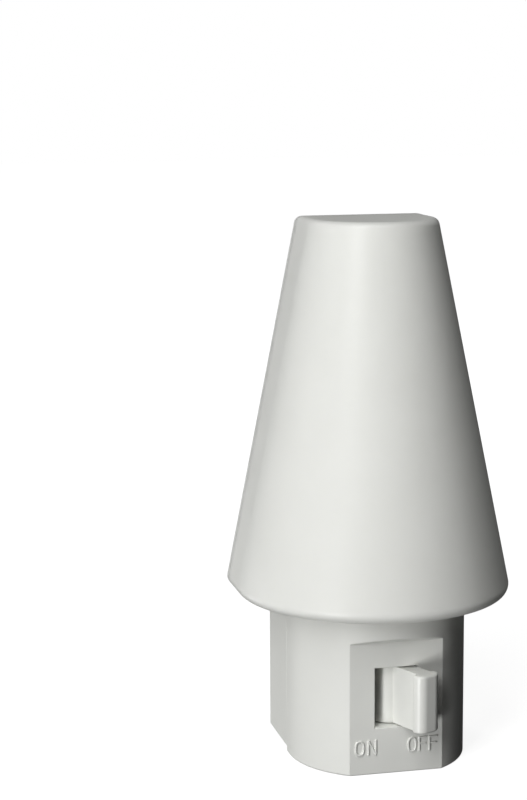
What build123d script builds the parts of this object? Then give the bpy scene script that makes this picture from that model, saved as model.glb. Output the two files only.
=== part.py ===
"""Plug-in night light with a swing switch and a tapered diffuser shade.

Millimetres, +Z up.  X runs to the right seen from the front, the switch faces -Y, and the blades
leave along +Y.  The origin is the middle of the outlet face, halfway between the two blades.

The body is a D in plan: half a cylinder at the front and straight sides back to the outlet face.
It comes apart at an upright plane into a front housing and a rear cover, which close on a circuit
board.  A collar on top of the two halves slides into a U slot in the floor of the shade, and the
shade's back plate shuts behind it.
"""

import math
import os

from build123d import *

# ---------------------------------------------------------------- driving dimensions
# Body
body_radius = 17.0          # half cylinder, and half the width of the straight sides
body_depth = 33.2           # front of the cylinder to the outlet face
body_height = 30.9          # underside to the seat of the shade
blade_drop = 14.7           # blade centres up from the underside
cover_depth = 14.3          # outlet face to the parting plane
cover_lift = 0.9            # the rear cover's underside above the housing's
wall = 1.6                  # side walls, floors and tops
outlet_wall = 2.0           # wall that the blades stand in
edge_round = 0.4            # small edge radius of the mouldings
parting_round = 0.15        # outer edges of both halves where they meet
clearance = 0.1             # between pieces that slot together
cut_over = 1.0              # how far a cutter runs past the face it opens

# Switch panel, cut flat across the cylinder
panel_width = 17.9
panel_height = 25.3         # underside to the ledge over the panel
ledge_angle = 24.0          # the ledge's underside rises outwards
panel_wall = 1.5
panel_round = 0.35          # edges of the panel and the ledge's lip
window_gap = 0.65           # window beside the lever's drum, each side
window_headroom = 0.25      # window over and under it
window_round = 0.2          # edges of the window

# Switch lever
swing = 24.0                # either side of straight ahead
pivot_depth = 5.25          # panel face back to the pivot axis
lever_height = 11.0
drum_radius = 3.45
stem_thickness = 3.05
head_width = 5.2            # thumb head, a rounded block across the stem's end
head_back = 9.75            # pivot to its back
head_reach = 12.1           # pivot to its front
head_corner = 1.7           # its front corners
head_round = 0.5            # its back corners
thumb_round = 0.45          # its top and bottom edges
axle_radius = 1.2
axle_length = 1.9
axle_clearance = 0.06       # radial
shelf_thickness = 2.2
shelf_width = 11.0
seat_wall = 1.7             # behind the axle, where the seat opens
seat_mouth = 1.9            # snap-in mouth, narrower than the axle
nose_radius = 6.9           # detent nose behind the pivot
nose_thickness = 1.8
nose_height = 2.0
carrier_inset = 0.6         # carrier's ends inside the lever's
carrier_radius = 6.0        # reach of the bridge contact's carrier
bridge_length = 1.9         # how far the bridge runs back along the carrier
bridge_window = 2.8         # height of the opening in the bridge for the nose and the spring
bridge_window_depth = 0.6   # how far that opening cuts into the bridge's sides
bridge_thickness = 0.3

# Switch contacts and detent spring
contact_strip = 0.4
contact_height = 2.8
contact_foot = 2.4
contact_lap = 1.7           # how far the contacts reach in beside the carrier
contact_gap = 0.05          # left between bridge and contacts when on
spring_strip = 0.25
spring_height = 2.2
spring_hump = 0.7           # how far the hump stands in the nose's way
spring_set = 0.7            # ends of the spring behind its valleys
spring_span = 24.0
spring_knee = 3.0           # bottom of a valley to the straight end, across
spring_bend = 1.2           # bend radius
spring_post = 2.8
spring_hold = 1.2           # length of the spring's ends inside the posts

# Blades, two-pole polarised
blade_pitch = 12.7
blade_thickness = 1.5
blade_length = 16.5         # beyond the outlet face
blade_width_neutral = 7.9
blade_width_line = 6.35
blade_hole_radius = 1.75
blade_hole_reach = 11.9     # outlet face to the hole
blade_nose = 1.6            # chamfer on the leading corners
shoulder = 1.5              # crossbar inside the outlet wall, each side and front to back
lug_width = 3.6

# Blade retainer
retainer_thickness = 2.0
retainer_margin = 1.5       # beyond the blades' outer sides
retainer_lap = 1.05         # beyond the wide blade's crossbar
stake_radius = 1.0
stake_offset = 4.4
stake_head = 0.6
stake_head_radius = 1.7

# Cover screws
screw_inset = 4.8           # body's side to the screws
screw_rise = 5.5            # underside up to the screws
screw_radius = 1.2
screw_head_radius = 2.4
screw_head_height = 1.7
screw_head_round = 0.7
screw_cross_span = 2.8      # cross recess
screw_cross_width = 0.6
screw_cross_depth = 0.9
screw_bite = 8.0            # length inside the front boss
screw_seat_depth = 6.0      # outlet face to the seat of the head
boss_radius = 3.6           # screw tubes of the cover
front_boss_radius = 2.6
boss_end = 1.2              # closed end of the front bosses
boss_web = 1.6              # web between boss and side wall
screw_tip_gap = 0.6

# Circuit board
board_thickness = 1.2
board_setback = 11.0        # outlet face to the back of the board
board_width = 23.0
board_headroom = 0.4        # board's shoulders below the body's top
board_footroom = 0.3        # board's foot above the cover's floor
boss_room = 0.4             # board around the screw tubes
tongue_width = 11.0
tongue_length = 17.8        # above the seat of the shade
post_radius = 1.4
post_margin = 0.8           # post edge to the ends of the board's sides
lip_thickness = 0.9         # locating lips beside the parting plane
lip_reach = 1.2

# Parts on the board
film_size = (12.0, 6.0, 6.4)            # width, reach, height
film_x = -2.1                           # between the bleed resistor and the contacts
film_drop = 3.5                         # board's shoulders down to its middle
film_round = 0.5
smoothing_radius = 2.5
smoothing_length = 8.0
smoothing_x = -5.0
smoothing_rise = 3.0                    # board's foot up to its middle
can_round = 0.4
crimp_radius = 0.45
crimp_depth = 0.25
crimp_place = 1.2                       # board to the crimp
rectifier_size = (6.4, 3.2, 5.2)
rectifier_x = 3.6
rectifier_rise = 3.1
rectifier_draft = 0.35                  # each side
resistor_radius = 1.15                  # at its capped ends
resistor_waist = 0.99                   # radius between them
resistor_length = 6.3
resistor_cap = 1.8                      # length of a capped end
resistor_round = 0.35
resistor_stand = 0.4                    # body off the board
lead_radius = 0.3
lead_bend = 1.2                         # body end to the bent leg
fusible_x = 10.0
bleed_x = -9.6
side_resistor_z = 1.5                   # middle of these two
led_resistor_drop = 9.4                 # tongue's top to the middle of the LED's resistor
led_radius = 2.5
led_flange = 2.9
led_flange_height = 1.0
led_height = 8.6
led_leg = 0.5
led_leg_pitch = 2.54
led_leg_length = 4.8
led_stand = 0.3             # LED above the tongue

# Shade
shade_foot_radius = 26.6
shade_crown_radius = 12.3
shade_height = 71.4
shade_depth_behind = 10.0   # axis of the shade's round front to its flat back
shade_setback = 3.6         # outlet face forward to the shade's back
shade_wall = 1.6
back_plate = 1.4
foot_round = 1.9
crown_round = 1.4
plate_rib = 1.2
plate_rib_depth = 2.4
plate_rib_gap = 0.4         # rib's foot above the collar

# Collar that carries the shade
neck_radius = 9.4
collar_flange = 1.8
collar_thickness = 1.2

# ---------------------------------------------------------------- worked-out places
axis_y = body_radius - body_depth
floor_z = -blade_drop
seat_z = floor_z + body_height
cover_floor_z = floor_z + cover_lift
parting_y = -cover_depth
panel_y = axis_y - math.sqrt(body_radius**2 - (panel_width / 2) ** 2)
panel_inner_y = panel_y + panel_wall
ledge_z = floor_z + panel_height
pivot_y = panel_y + pivot_depth
window_width = 2 * (drum_radius + window_gap)
window_height = lever_height + 2 * window_headroom
contact_offset = (lever_height - contact_height) / 2 - carrier_inset
retainer_width = blade_pitch + blade_thickness + 2 * retainer_margin
retainer_height = blade_width_neutral + 2 * (shoulder + retainer_lap)
screw_x = body_radius - screw_inset
screw_z = floor_z + screw_rise
board_front_y = -board_setback - board_thickness
shade_back_y = -shade_setback
shade_axis_y = shade_back_y - shade_depth_behind
plate_inner_y = shade_back_y - back_plate
crown_z = seat_z + shade_height
taper = (shade_foot_radius - shade_crown_radius) / shade_height
groove_top_z = seat_z + shade_wall + clearance
collar_top_z = groove_top_z + collar_thickness
neck_back_y = plate_inner_y - clearance
screw_head_y = -screw_seat_depth
nose_centre = nose_radius - nose_thickness / 2
valley_y = pivot_y + nose_centre * math.cos(math.radians(swing)) + nose_thickness / 2
valley_y += contact_gap + spring_strip / 2
hump_y = pivot_y + nose_radius - spring_hump + spring_strip / 2
spring_y = valley_y + spring_set
board_top = seat_z - wall - board_headroom
board_bottom = cover_floor_z + wall + board_footroom
board_foot_top = screw_z + boss_radius + boss_room
board_foot_width = 2 * (screw_x - boss_radius - boss_room)
tongue_top = seat_z + tongue_length
post_x = board_width / 2 - post_radius
film_z = board_top - film_drop
smoothing_place = (smoothing_x, board_bottom + smoothing_rise)
rectifier_place = (rectifier_x, board_bottom + rectifier_rise)
resistor_places = {         # x, z
    "fusible_resistor": (fusible_x, side_resistor_z),
    "bleed_resistor": (bleed_x, side_resistor_z),
    "led_resistor": (0, tongue_top - led_resistor_drop),
}
retainer_y = -outlet_wall - shoulder
resistor_y = board_front_y - resistor_stand - resistor_radius
led_y = board_front_y - led_leg / 2
whole = 2 * (body_height + shade_height)    # wider and taller than anything here


# ---------------------------------------------------------------- shared shapes
def block(x0, x1, y0, y1, z0, z1):
    """Box between two corners."""
    size = (x1 - x0, y1 - y0, z1 - z0)
    return Pos((x0 + x1) / 2, (y0 + y1) / 2, (z0 + z1) / 2) * Box(*size)


def slab(y0, y1, z0=-whole, z1=whole):
    """Everything between two upright planes, and two levels if given."""
    return block(-whole, whole, y0, y1, z0, z1)


def rod(radius, length, start, direction):
    """Round bar from a start point along a direction."""
    return Plane(origin=start, z_dir=direction) * Cylinder(
        radius, length, align=(Align.CENTER, Align.CENTER, Align.MIN)
    )


def d_face(half_width, centre_y, back_y, z):
    """D outline at one height: a half circle at the front, straight sides, a flat back."""
    left, right = (-half_width, centre_y), (half_width, centre_y)
    front = RadiusArc(left, right, -half_width)
    sides = Polyline(right, (half_width, back_y), (-half_width, back_y), left)
    return Pos(0, 0, z) * make_face([front, sides])


def d_solid(half_width, centre_y, back_y, z0, z1):
    """Upright D prism."""
    return extrude(d_face(half_width, centre_y, back_y, z0), z1 - z0, dir=(0, 0, 1))


def at_pivot(degrees):
    """Placement of things drawn about the pivot, swung by an angle."""
    return Pos(0, pivot_y, 0) * Rot(0, 0, degrees)


# ---------------------------------------------------------------- body
def body_form(low):
    """Outer form of the body from an underside to the seat, its foot and back edges softened."""
    form = d_solid(body_radius, axis_y, 0, low, seat_z)
    back = form.faces().sort_by(Axis.Y)[-1].edges()
    foot = form.faces().sort_by(Axis.Z)[0].edges()
    soft = [e for e in back + foot if e.center().Z < seat_z - edge_round]
    return fillet(soft, edge_round)


def body_hollow(low):
    """Space inside the walls of a body half with this underside."""
    inner = body_radius - wall
    return d_solid(inner, axis_y, -outlet_wall, low + wall, seat_z - wall)


def collar():
    """Neck and flange on which the shade's floor slides, cored from below."""
    neck = d_solid(neck_radius, axis_y, neck_back_y, seat_z, groove_top_z)
    flange = d_solid(neck_radius + collar_flange, axis_y, neck_back_y, groove_top_z, collar_top_z)
    return neck + flange


def collar_core():
    """Space under the collar's top, open to the body."""
    inner = neck_radius - wall
    return d_solid(inner, axis_y, neck_back_y - wall, seat_z - 2 * wall, groove_top_z - clearance)


def tongue_slot():
    """Slot in the collar for the tongue of the circuit board."""
    half = tongue_width / 2 + clearance
    front, back = board_front_y - clearance, -board_setback + clearance
    return block(-half, half, front, back, seat_z - 2 * wall, collar_top_z + cut_over)


def panel_cut():
    """What the switch panel takes off the cylinder, under a ledge that rises outwards."""
    reach = 2 * (body_radius - (axis_y - panel_y))
    rise = reach * math.tan(math.radians(ledge_angle))
    side = Polyline(
        (panel_y, floor_z - cut_over), (panel_y, ledge_z), (panel_y - reach, ledge_z + rise),
        (panel_y - reach, floor_z - cut_over), close=True,
    )
    return extrude(Plane.YZ * make_face(side), body_radius, both=True)


def panel_backing():
    """Wall behind the panel, kept when the body is hollowed."""
    half = panel_width / 2
    front_y = axis_y - body_radius
    return block(-half, half, front_y, panel_inner_y, floor_z, ledge_z + panel_wall)


def pivot_shelves():
    """Two shelves behind the panel with the seats of the lever's axles, open at the back."""
    half = shelf_width / 2
    back_y = pivot_y + axle_radius + seat_wall
    shelves = Part()
    for side in (-1, 1):
        low_z, high_z = window_height / 2, window_height / 2 + shelf_thickness
        inner, outer = sorted((side * low_z, side * high_z))
        shelf = block(-half, half, panel_inner_y, back_y, inner, outer)
        seat = rod(axle_radius + axle_clearance, shelf_thickness, (0, pivot_y, inner), (0, 0, 1))
        mouth = block(-seat_mouth / 2, seat_mouth / 2, pivot_y, back_y, inner, outer)
        shelves += shelf - seat - mouth
    return shelves


def spring_posts():
    """Slotted posts on the side walls that hold the ends of the detent spring."""
    end_x = spring_span / 2
    half_y, half_z = spring_post / 2, spring_height / 2 + wall
    slot_y, slot_z = (spring_strip + clearance) / 2, spring_height / 2 + clearance
    posts = Part()
    for side in (-1, 1):
        x0, x1 = sorted((side * (end_x - spring_hold), side * (body_radius - wall)))
        post = block(x0, x1, spring_y - half_y, spring_y + half_y, -half_z, half_z)
        slot0, slot1 = sorted((side * (end_x - spring_hold - cut_over), side * (end_x + clearance)))
        posts += post - block(slot0, slot1, spring_y - slot_y, spring_y + slot_y, -slot_z, slot_z)
    return posts


def front_bosses():
    """Blind bosses that the cover screws bite into."""
    bosses = Part()
    length, half_web = screw_bite + boss_end, boss_web / 2
    for side in (-1, 1):
        foot = (side * screw_x, parting_y, screw_z)
        boss = rod(front_boss_radius, length, foot, (0, -1, 0))
        x0, x1 = sorted((side * screw_x, side * body_radius))
        web = block(x0, x1, parting_y - length, parting_y, screw_z - half_web, screw_z + half_web)
        bosses += boss + web
    return bosses & d_solid(body_radius - wall / 2, axis_y, 0, floor_z, seat_z)


def parting_edges(half):
    """The two upright outer edges of a body half at the parting plane."""
    upright = half.edges().filter_by(Axis.Z)
    upright = upright.filter_by_position(Axis.Y, parting_y - clearance, parting_y + clearance)
    return [upright.sort_by(Axis.X)[0], upright.sort_by(Axis.X)[-1]]


def panel_edges(housing):
    """The edges of the switch panel's face: those round the window, and the others."""
    in_front = [f for f in housing.faces().filter_by(Axis.Y) if f.center().Y < panel_inner_y - clearance]
    panel = max(in_front, key=lambda f: f.area)
    middles = [(e, e.center()) for e in panel.edges()]
    window = [e for e, m in middles if abs(m.X) < window_width and abs(m.Z) < window_height]
    return window, [e for e in panel.edges() if e not in window]


def rim_edges(housing):
    """Edges of the switch panel but the corner under the ledge, and the ledge's lip."""
    lip_y = panel_y - panel_wall
    middles = [(e, e.center()) for e in housing.edges()]
    lip = [e for e, m in middles if m.Y < lip_y and ledge_z < m.Z < seat_z - edge_round]
    return lip + [e for e in panel_edges(housing)[1] if e.center().Z < ledge_z - edge_round]


def front_housing():
    """Half-cylinder housing with the switch panel, its window, the axle seats and half the collar."""
    shell = body_form(floor_z) + collar() - (body_hollow(floor_z) - panel_backing()) - collar_core()
    shell += pivot_shelves() + spring_posts() + front_bosses()
    for side in (-1, 1):
        foot = (side * screw_x, parting_y, screw_z)
        shell -= rod(screw_radius + clearance / 2, screw_bite, foot, (0, -1, 0))
    shell -= panel_cut()
    half = window_width / 2
    shell -= block(-half, half, panel_y - cut_over, panel_inner_y, -window_height / 2, window_height / 2)
    housing = shell & slab(-whole, parting_y)
    housing = fillet(parting_edges(housing), parting_round)
    housing = fillet(panel_edges(housing)[0], window_round)
    return fillet(rim_edges(housing), panel_round)


def cover_bosses():
    """Tubes through the rear cover for the screws, with seats for their heads."""
    tubes = Part()
    for side in (-1, 1):
        tubes += rod(boss_radius, cover_depth, (side * screw_x, parting_y, screw_z), (0, 1, 0))
    return tubes & d_solid(body_radius, axis_y, 0, cover_floor_z, seat_z)


def screw_ways():
    """Clearance holes and head recesses of the cover screws."""
    ways = Part()
    for side in (-1, 1):
        foot, seat = (side * screw_x, parting_y, screw_z), (side * screw_x, screw_head_y, screw_z)
        ways += rod(screw_radius + clearance, cover_depth, foot, (0, 1, 0))
        ways += rod(screw_head_radius + clearance, screw_seat_depth, seat, (0, 1, 0))
    return ways


def board_posts():
    """Posts in the rear cover that the board rests against."""
    inset = post_radius + post_margin
    posts = Part()
    for side in (-1, 1):
        for height in (board_foot_top + inset, board_top - inset):
            start = (side * post_x, -outlet_wall, height)
            posts += rod(post_radius, board_setback - outlet_wall, start, (0, -1, 0))
    return posts


def retainer_stakes():
    """Stakes with flattened heads that hold the blade retainer."""
    stakes = Part()
    top_y = retainer_y - retainer_thickness
    for side in (-1, 1):
        start = (0, -outlet_wall, side * stake_offset)
        stakes += rod(stake_radius, -top_y - outlet_wall, start, (0, -1, 0))
        stakes += rod(stake_head_radius, stake_head, (0, top_y, side * stake_offset), (0, -1, 0))
    return stakes


def cover_lips():
    """Lips on the cover's side walls that locate it inside the front housing."""
    lips = Part()
    inner = body_radius - wall
    for side in (-1, 1):
        root0, root1 = sorted((side * (inner - lip_thickness), side * inner))
        tip0, tip1 = sorted((side * (inner - lip_thickness), side * (inner - clearance)))
        low, high = board_foot_top, board_top
        lips += block(root0, root1, parting_y, parting_y + lip_reach, low, high)
        lips += block(tip0, tip1, parting_y - lip_reach, parting_y, low, high)
    return lips


def blade_slots():
    """Slots for the two blades in the outlet wall."""
    slots = Part()
    for side, width in ((-1, blade_width_neutral), (1, blade_width_line)):
        half_t, half_w = blade_thickness / 2 + clearance / 2, width / 2 + clearance / 2
        x = side * blade_pitch / 2
        slots += block(x - half_t, x + half_t, -outlet_wall - cut_over, cut_over, -half_w, half_w)
    return slots


def rear_cover():
    """Cover with the outlet face, the blade slots, the screw tubes and half the collar."""
    shell = body_form(cover_floor_z) + collar() - body_hollow(cover_floor_z) - collar_core()
    shell += cover_bosses() + board_posts() + retainer_stakes()
    shell -= screw_ways() + blade_slots() + tongue_slot()
    cover = shell & slab(parting_y, whole)
    return fillet(parting_edges(cover), parting_round) + cover_lips()


# ---------------------------------------------------------------- switch
def switch_lever():
    """Lever in its off position: drum, stub axles, stem with thumb head, carrier and nose."""
    half = lever_height / 2
    drum = Cylinder(drum_radius, lever_height)
    head = block(-head_width / 2, head_width / 2, -head_reach, -head_back, -half, half)
    corners = head.edges().filter_by(Axis.Z).sort_by(Axis.Y)
    head = fillet(corners[:2], head_corner)
    head = fillet(head.edges().filter_by(Axis.Z).sort_by(Axis.Y)[-2:], head_round)
    thumb = head + block(-stem_thickness / 2, stem_thickness / 2, -head_back - head_round, 0, -half, half)
    levels = thumb.edges().group_by(Axis.Z)
    thumb = fillet([e for e in levels[0] + levels[-1] if e.center().Y < -head_back], thumb_round)
    axles = Cylinder(axle_radius, lever_height + 2 * axle_length)
    tail = half - carrier_inset
    carrier = block(-nose_thickness / 2, nose_thickness / 2, 0, carrier_radius, -tail, tail)
    tip = nose_height / 2
    nose = block(-nose_thickness / 2, nose_thickness / 2, 0, nose_centre, -tip, tip)
    nose += Pos(0, nose_centre, 0) * Cylinder(nose_thickness / 2, nose_height)
    return at_pivot(swing) * (drum + thumb + axles + carrier + nose)


def bridge_contact():
    """Brass clip round the carrier's end that joins the two fixed contacts when on."""
    half_x, half_z = nose_thickness / 2, lever_height / 2 - carrier_inset
    side_x, end_y = half_x + bridge_thickness, carrier_radius + bridge_thickness
    clip = block(-side_x, side_x, carrier_radius - bridge_length, end_y, -half_z, half_z)
    clip -= block(-half_x, half_x, 0, carrier_radius, -half_z - cut_over, half_z + cut_over)
    side_x, window = side_x + cut_over, bridge_window / 2
    clip -= block(-side_x, side_x, carrier_radius - bridge_window_depth, end_y + cut_over, -window, window)
    return at_pivot(swing) * clip


def fixed_contact(level):
    """Spring strip from the board to where the bridge stops when on, at one level (+1 or -1)."""
    near = nose_thickness / 2 + bridge_thickness + contact_gap
    low = level * contact_offset - contact_height / 2
    high = low + contact_height
    tip = carrier_radius - contact_lap
    strip = at_pivot(-swing) * block(near, near + contact_strip, tip, whole, low, high)
    strip &= slab(-whole, board_front_y)
    foot_y = board_front_y - contact_strip
    reach = (board_front_y - pivot_y) / math.cos(math.radians(swing))
    end_x = reach * math.sin(math.radians(swing)) + near * math.cos(math.radians(swing))
    foot = block(end_x - contact_foot, end_x + contact_strip, foot_y, board_front_y, low, high)
    return strip + foot


def detent_spring():
    """Flat spring with a valley for each position of the nose and a hump between them."""
    nose_x = nose_centre * math.sin(math.radians(swing))
    end_x = spring_span / 2
    knee_x = nose_x + spring_knee
    points = [
        (-end_x, spring_y), (-knee_x, spring_y), (-nose_x, valley_y), (0, hump_y),
        (nose_x, valley_y), (knee_x, spring_y), (end_x, spring_y),
    ]
    path = FilletPolyline(*points, radius=spring_bend)
    strip = trace(path, line_width=spring_strip)
    return extrude(Pos(0, 0, -spring_height / 2) * strip, spring_height, dir=(0, 0, 1))


# ---------------------------------------------------------------- plug
def blade(side, width):
    """Flat blade with a chamfered nose, a lock hole, a crossbar inside the wall and a solder lug."""
    half, lug, nose = width / 2, lug_width / 2, width / 2 - blade_nose
    bar, bar_y, end_y = half + shoulder, -outlet_wall - shoulder, board_front_y - clearance
    lower = [
        (end_y, -lug), (bar_y, -lug), (bar_y, -bar), (-outlet_wall, -bar), (-outlet_wall, -half),
        (blade_length - blade_nose, -half), (blade_length, -nose),
    ]
    upper = [(y, -z) for y, z in reversed(lower)]
    profile = Polyline(*lower, *upper, close=True)
    sheet = make_face(profile) - Pos(blade_hole_reach, 0) * Circle(blade_hole_radius)
    x = side * blade_pitch / 2
    return Pos(x, 0, 0) * extrude(Plane.YZ * sheet, blade_thickness / 2, both=True)


def blade_retainer():
    """Plate over the crossbars of both blades, held by two stakes."""
    half_x, half_z = retainer_width / 2, retainer_height / 2
    plate = block(-half_x, half_x, retainer_y - retainer_thickness, retainer_y, -half_z, half_z)
    half_t, half_w = (blade_thickness + clearance) / 2, (lug_width + clearance) / 2
    back_y, through = retainer_y + cut_over, retainer_thickness + 2 * cut_over
    for side in (-1, 1):
        x = side * blade_pitch / 2
        plate -= block(x - half_t, x + half_t, back_y - through, back_y, -half_w, half_w)
        plate -= rod(stake_radius + clearance / 2, through, (0, back_y, side * stake_offset), (0, -1, 0))
    return plate


def cover_screws():
    """Two pan-head screws that pull the cover onto the housing."""
    screws = Part()
    tip_y = parting_y - screw_bite + screw_tip_gap
    top_y = screw_head_y + screw_head_height
    long, short = screw_cross_span / 2, screw_cross_width / 2
    for side in (-1, 1):
        x = side * screw_x
        head = rod(screw_head_radius, screw_head_height, (x, screw_head_y, screw_z), (0, 1, 0))
        head = fillet(head.edges().sort_by(Axis.Y)[-1], screw_head_round)
        for across, up in ((long, short), (short, long)):
            slot_y, slot_z = top_y - screw_cross_depth, screw_z - up
            head -= block(x - across, x + across, slot_y, top_y + cut_over, slot_z, screw_z + up)
        shank = rod(screw_radius, screw_head_y - tip_y, (x, tip_y, screw_z), (0, 1, 0))
        screws += head + shank
    return screws


# ---------------------------------------------------------------- circuit board
def circuit_board():
    """Board behind the switch, with a tongue that reaches up into the shade."""
    wide, foot, tongue = board_width / 2, board_foot_width / 2, tongue_width / 2
    outline = Polyline(
        (-foot, board_bottom), (foot, board_bottom), (foot, board_foot_top), (wide, board_foot_top),
        (wide, board_top), (tongue, board_top), (tongue, tongue_top), (-tongue, tongue_top),
        (-tongue, board_top), (-wide, board_top), (-wide, board_foot_top), (-foot, board_foot_top),
        close=True,
    )
    board = extrude(Plane.XZ * make_face(outline), board_thickness)
    board = Pos(0, -board_setback, 0) * board
    half_t, half_w = blade_thickness / 2 + clearance, lug_width / 2 + clearance
    front_y, back_y = board_front_y - cut_over, -board_setback + cut_over
    for side in (-1, 1):
        x = side * blade_pitch / 2
        board -= block(x - half_t, x + half_t, front_y, back_y, -half_w, half_w)
    return board


def film_capacitor():
    """Boxed film capacitor that drops the mains voltage."""
    width, reach, height = film_size
    left, low = film_x - width / 2, film_z - height / 2
    case = block(left, left + width, board_front_y - reach, board_front_y, low, low + height)
    return fillet(case.faces().sort_by(Axis.Y)[0].edges(), film_round)


def smoothing_capacitor():
    """Round smoothing capacitor with a crimped sleeve."""
    x, z = smoothing_place
    can = rod(smoothing_radius, smoothing_length, (x, board_front_y, z), (0, -1, 0))
    can = fillet(can.edges().sort_by(Axis.Y)[0], can_round)
    crimp = Torus(smoothing_radius + crimp_radius - crimp_depth, crimp_radius)
    return can - Plane(origin=(x, board_front_y - crimp_place, z), z_dir=(0, 1, 0)) * crimp


def bridge_rectifier():
    """Moulded bridge rectifier, drafted from the board to its top."""
    width, reach, height = rectifier_size
    x, z = rectifier_place
    less = 2 * rectifier_draft
    base = Plane.XZ.offset(-board_front_y) * Pos(x, z) * Rectangle(width, height)
    top = Plane.XZ.offset(reach - board_front_y) * Pos(x, z) * Rectangle(width - less, height - less)
    return loft([base, top])


def resistor(name):
    """Axial resistor body with its swollen ends, lying upright in front of the board."""
    x, z = resistor_places[name]
    body = Cylinder(resistor_waist, resistor_length)
    cap = fillet(Cylinder(resistor_radius, resistor_cap).edges(), resistor_round)
    for side in (-1, 1):
        body += Pos(0, 0, side * (resistor_length - resistor_cap) / 2) * cap
    return Pos(x, resistor_y, z) * body


def resistor_leads():
    """Bent wire leads of the resistors, soldered to the board."""
    leads = Part()
    for x, z in resistor_places.values():
        for side in (-1, 1):
            end = z + side * resistor_length / 2
            bend = end + side * lead_bend
            leads += rod(lead_radius, lead_bend, (x, resistor_y, end), (0, 0, side))
            leads += Pos(x, resistor_y, bend) * Sphere(lead_radius)
            leads += rod(lead_radius, board_front_y - resistor_y, (x, resistor_y, bend), (0, 1, 0))
    return leads


def led():
    """Round-nosed LED on top of the tongue."""
    low = tongue_top + led_stand
    barrel = led_height - led_radius - led_flange_height
    base = rod(led_flange, led_flange_height, (0, led_y, low), (0, 0, 1))
    lens = rod(led_radius, barrel, (0, led_y, low + led_flange_height), (0, 0, 1))
    dome = Pos(0, led_y, low + led_flange_height + barrel) * Sphere(led_radius)
    return base + lens + dome


def led_legs():
    """Two square legs of the LED, flat on the tongue."""
    legs = Part()
    high, half = tongue_top + led_stand, led_leg / 2
    for side in (-1, 1):
        x = side * led_leg_pitch / 2
        legs += block(x - half, x + half, led_y - half, led_y + half, high - led_leg_length, high)
    return legs


# ---------------------------------------------------------------- shade
def shade_radius(z):
    """Half width of the shade's outside at a height."""
    return shade_foot_radius - taper * (z - seat_z)


def shade_form():
    """Outer form of the shade with its softened foot and crown."""
    foot = d_face(shade_foot_radius, shade_axis_y, shade_back_y, seat_z)
    crown = d_face(shade_crown_radius, shade_axis_y, shade_back_y, crown_z)
    form = loft([foot, crown], ruled=True)
    form = fillet(form.faces().sort_by(Axis.Z)[0].edges(), foot_round)
    return fillet(form.faces().sort_by(Axis.Z)[-1].edges(), crown_round)


def shade_inside(inset):
    """Hollow of the shade, set in from the walls by a further inset and open at the back."""
    slant = (shade_wall + inset) * math.hypot(1, taper)
    low, high = seat_z + shade_wall + inset, crown_z - shade_wall - inset
    back_y = shade_back_y + cut_over
    floor = d_face(shade_radius(low) - slant, shade_axis_y, back_y, low)
    top = d_face(shade_radius(high) - slant, shade_axis_y, back_y, high)
    return loft([floor, top], ruled=True)


def shade():
    """Tapered diffuser shell, open at the back, with a U slot in its floor for the collar."""
    low, high = seat_z - cut_over, seat_z + shade_wall + cut_over
    slot = d_solid(neck_radius + clearance, axis_y, 0, low, high)
    return (shade_form() - shade_inside(0) - slot) & slab(-whole, plate_inner_y)


def shade_back():
    """Flat back plate with a rib that locates it inside the shell."""
    plate = shade_form() & slab(plate_inner_y, whole)
    rib = shade_inside(clearance) - shade_inside(clearance + plate_rib)
    rib_foot_z = collar_top_z + plate_rib_gap
    return plate + (rib & slab(plate_inner_y - plate_rib_depth, plate_inner_y, rib_foot_z))


# ---------------------------------------------------------------- assembly
def build_nodes():
    """Every piece by name."""
    nodes = {
        "shade": shade(),
        "shade_back": shade_back(),
        "front_housing": front_housing(),
        "rear_cover": rear_cover(),
        "cover_screws": cover_screws(),
        "switch_lever": switch_lever(),
        "bridge_contact": bridge_contact(),
        "contact_line": fixed_contact(1),
        "contact_load": fixed_contact(-1),
        "detent_spring": detent_spring(),
        "blade_neutral": blade(-1, blade_width_neutral),
        "blade_line": blade(1, blade_width_line),
        "blade_retainer": blade_retainer(),
        "circuit_board": circuit_board(),
        "film_capacitor": film_capacitor(),
        "smoothing_capacitor": smoothing_capacitor(),
        "bridge_rectifier": bridge_rectifier(),
        "resistor_leads": resistor_leads(),
        "led": led(),
        "led_legs": led_legs(),
    }
    for name in resistor_places:
        nodes[name] = resistor(name)
    return nodes


def main():
    """Build every piece and write one STEP file each."""
    os.makedirs("parts", exist_ok=True)
    for name, piece in build_nodes().items():
        export_step(piece, f"parts/{name}.step")


main()
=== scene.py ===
"""Plug-in night light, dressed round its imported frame.

The mouldings, the switch parts and the parts on the board keep their CAD shapes and get their
finishes here.  The raised words, the blades, the screws, the LED and the solder are made here.
Sizes are in millimetres, and meshes are in metres in the frame of the CAD.
"""

import logging
import math
from dataclasses import dataclass, field
from enum import Enum

import bmesh
import bpy
import numpy as np
from mathutils import Matrix, Vector


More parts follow.
